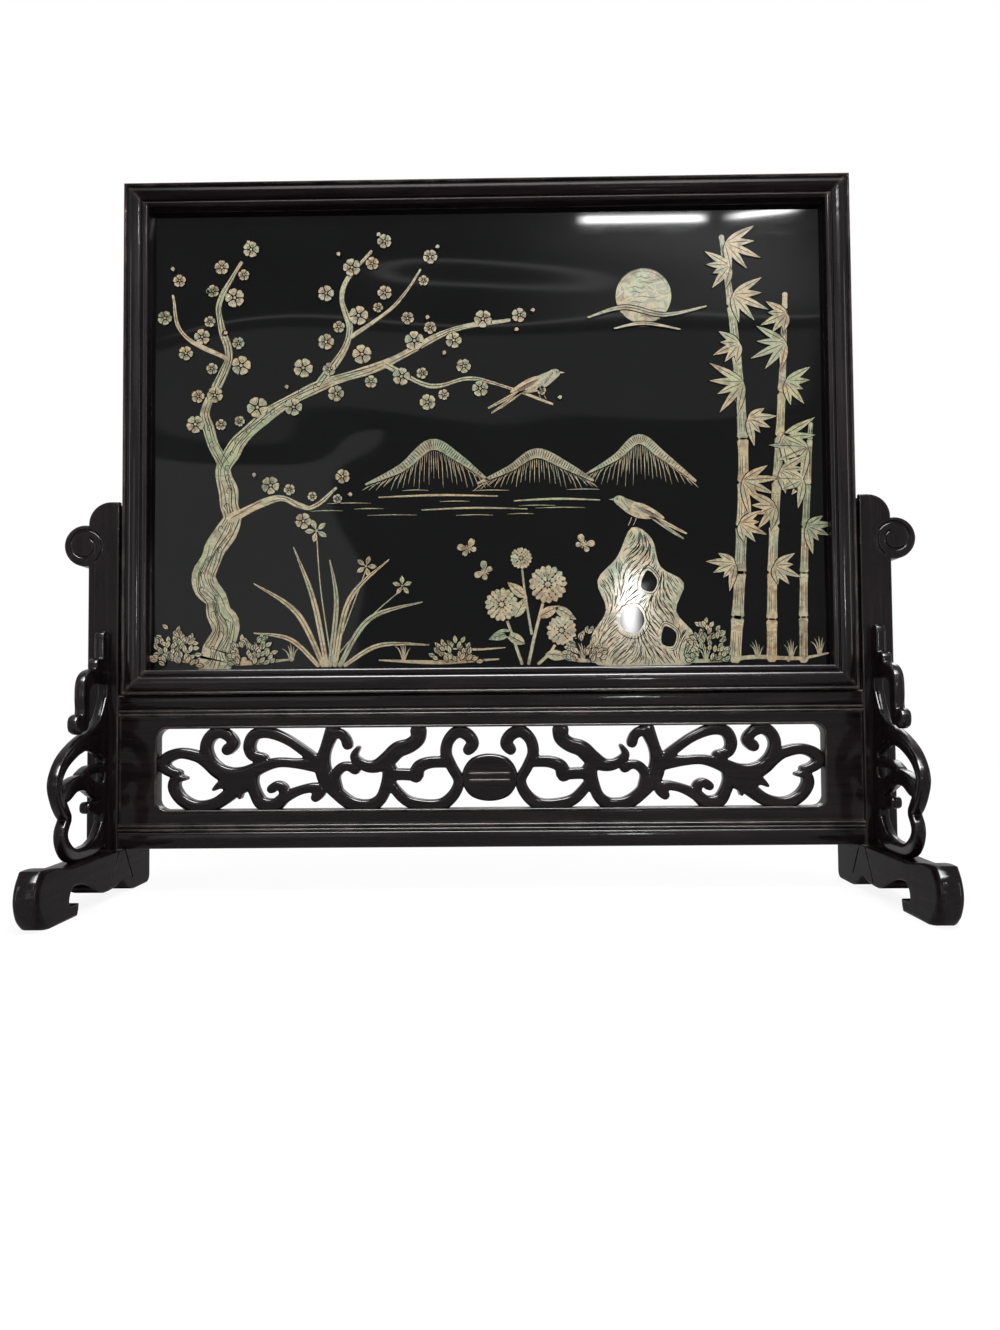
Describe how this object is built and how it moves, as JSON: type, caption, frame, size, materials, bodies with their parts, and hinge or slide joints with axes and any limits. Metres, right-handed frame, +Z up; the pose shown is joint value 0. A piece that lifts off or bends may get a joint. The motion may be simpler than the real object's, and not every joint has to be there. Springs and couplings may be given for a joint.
{
  "type": "table screen",
  "caption": "Table screen: a framed black lacquer panel with shell inlay that slides down between the grooved posts of a dark carved wood stand with a pierced scroll board.",
  "frame": {"origin": "on the table under the middle of the part's box", "axes": "+X to the right seen from the front, +Y to the back, +Z up"},
  "size_m": [0.5118, 0.161, 0.432],
  "materials": {
    "dark_wood": "near-black stained hardwood under satin lacquer",
    "plain_wood": "plain dry wood of pegs and splines",
    "black_lacquer": "black lacquered board, polished",
    "shell": "polished mother-of-pearl, cream with a green and pink sheen",
    "steel": "plain wire brads"
  },
  "bodies": {
    "stand": {"left_post": "dark_wood", "right_post": "dark_wood", "left_foot": "dark_wood", "right_foot": "dark_wood", "front_left_spandrel": "dark_wood", "front_right_spandrel": "dark_wood", "rear_left_spandrel": "dark_wood", "rear_right_spandrel": "dark_wood", "upper_rail": "dark_wood", "lower_rail": "dark_wood", "fret_panel": "dark_wood", "rail_pegs": "plain_wood", "foot_pegs": "plain_wood", "spandrel_dowels": "plain_wood"},
    "screen": {"frame_left_stile": "dark_wood", "frame_right_stile": "dark_wood", "frame_top_rail": "dark_wood", "frame_bottom_rail": "dark_wood", "frame_corner_splines": "plain_wood", "left_tongue_strip": "dark_wood", "right_tongue_strip": "dark_wood", "lacquer_panel": "black_lacquer", "back_board": "black_lacquer", "back_board_brads": "steel", "inlay_moon": "shell", "inlay_hills": "shell", "inlay_plum_branches": "shell", "inlay_plum_blossoms": "shell", "inlay_bamboo": "shell", "inlay_rock": "shell", "inlay_orchids": "shell", "inlay_chrysanthemums": "shell", "inlay_birds": "shell"}
  },
  "joints": [
    {"name": "screen_lift", "type": "slide", "parent": "stand", "child": "screen", "axis": [0, 0, 1], "range_m": [0, 0.125]}
  ]
}
